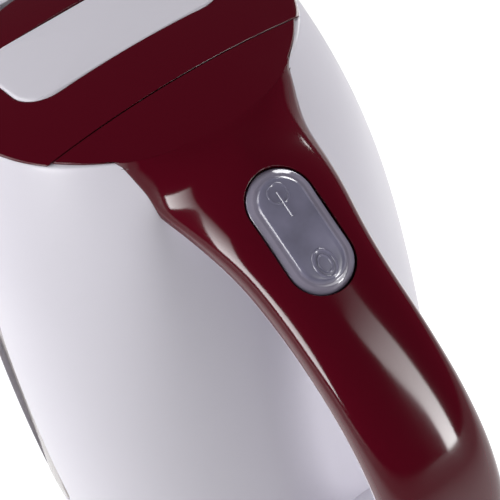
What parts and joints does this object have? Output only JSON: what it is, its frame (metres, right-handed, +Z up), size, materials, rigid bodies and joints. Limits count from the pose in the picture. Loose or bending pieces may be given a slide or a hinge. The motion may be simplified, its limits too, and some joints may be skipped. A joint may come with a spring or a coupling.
{
  "type": "cordless jug kettle",
  "caption": "Cordless jug kettle on a round power base, with hinged domed lid, D-shaped handle, rocker switch on the handle's top, side water gauges and lift-out spout filter.",
  "frame": {"origin": "centre of the power base's underside, on the jug's axis, in the plane that the feet stand on", "axes": "+Z up along the jug's axis, +X towards the handle, -X towards the spout, Y across the lid's hinge"},
  "size_m": [0.2128, 0.143, 0.2111],
  "materials": {
    "burgundy_shell": "deep burgundy high-gloss moulded plastic",
    "white_shell": "white satin-gloss moulded plastic with a faint lavender tint",
    "white_inner": "plain white inner moulding",
    "smoked_lens": "smoky grey translucent switch lens",
    "gauge_window": "smoky translucent gauge window",
    "black_plastic": "black heat-proof moulding",
    "steel": "brushed stainless steel",
    "aluminium": "plain aluminium",
    "brass": "brass contact metal",
    "rubber_black": "black rubber",
    "silicone_white": "translucent white silicone",
    "lamp_glass": "small neon lamp bulb"
  },
  "bodies": {
    "power_base": {"base_shell": "white_shell", "base_plate": "white_inner", "base_connector": "black_plastic", "base_contacts": "brass", "base_feet": "rubber_black", "base_screws": "steel", "cord_outlet": "rubber_black"},
    "socket": {"jug_socket": "black_plastic", "socket_contacts": "brass"},
    "lid": {"lid_cover": "burgundy_shell", "lid_inlay": "white_shell", "lid_liner": "white_inner", "lid_seal": "silicone_white"},
    "rocker": {"rocker_lens": "smoked_lens", "rocker_carrier": "black_plastic"},
    "trip": {"trip_lever": "white_inner"},
    "filter": {"filter_frame": "white_shell", "filter_mesh": "steel"},
    "jug": {"jug_body": "white_shell", "gauge_left": "gauge_window", "gauge_right": "gauge_window", "heating_plate": "steel", "plate_seal": "silicone_white", "heat_spreader": "aluminium", "heating_element": "aluminium", "plate_clamp": "white_inner", "clamp_screws": "steel", "control_unit": "black_plastic", "bottom_cover": "white_inner", "bottom_screws": "steel", "handle_liner": "white_shell", "handle_cover": "burgundy_shell", "handle_screws": "steel", "hinge_bridge": "white_inner", "bridge_screws": "steel", "lid_hinge_pin": "steel", "switch_frame": "black_plastic", "switch_block": "black_plastic", "steam_disc": "brass", "neon_lamp": "lamp_glass", "switch_leads": "rubber_black"}
  },
  "joints": [
    {"name": "base_lift", "type": "slide", "parent": "power_base", "child": "socket", "axis": [0, 0, 1], "range_m": [0, 0.06]},
    {"name": "base_turn", "type": "hinge", "parent": "socket", "child": "jug", "pos_m": [0, 0, 0.03], "axis": [0, 0, 1], "continuous": true},
    {"name": "lid_hinge", "type": "hinge", "parent": "jug", "child": "lid", "pos_m": [0.036, 0, 0.202], "axis": [0, 1, 0], "range_deg": [0, 80]},
    {"name": "rocker_tilt", "type": "hinge", "parent": "jug", "child": "rocker", "pos_m": [0.0822, 0, 0.17889], "axis": [0, -1, 0], "range_deg": [0, 5]},
    {"name": "trip_turn", "type": "hinge", "parent": "jug", "child": "trip", "pos_m": [0.06748, 0, 0.1851], "axis": [0, 1, 0], "range_deg": [0, 10]},
    {"name": "filter_lift", "type": "slide", "parent": "jug", "child": "filter", "axis": [0, 0, 1], "range_m": [0, 0.06]}
  ],
  "couplings": [
    {"joint": "trip_turn", "follows": "rocker_tilt", "ratio": 2}
  ]
}
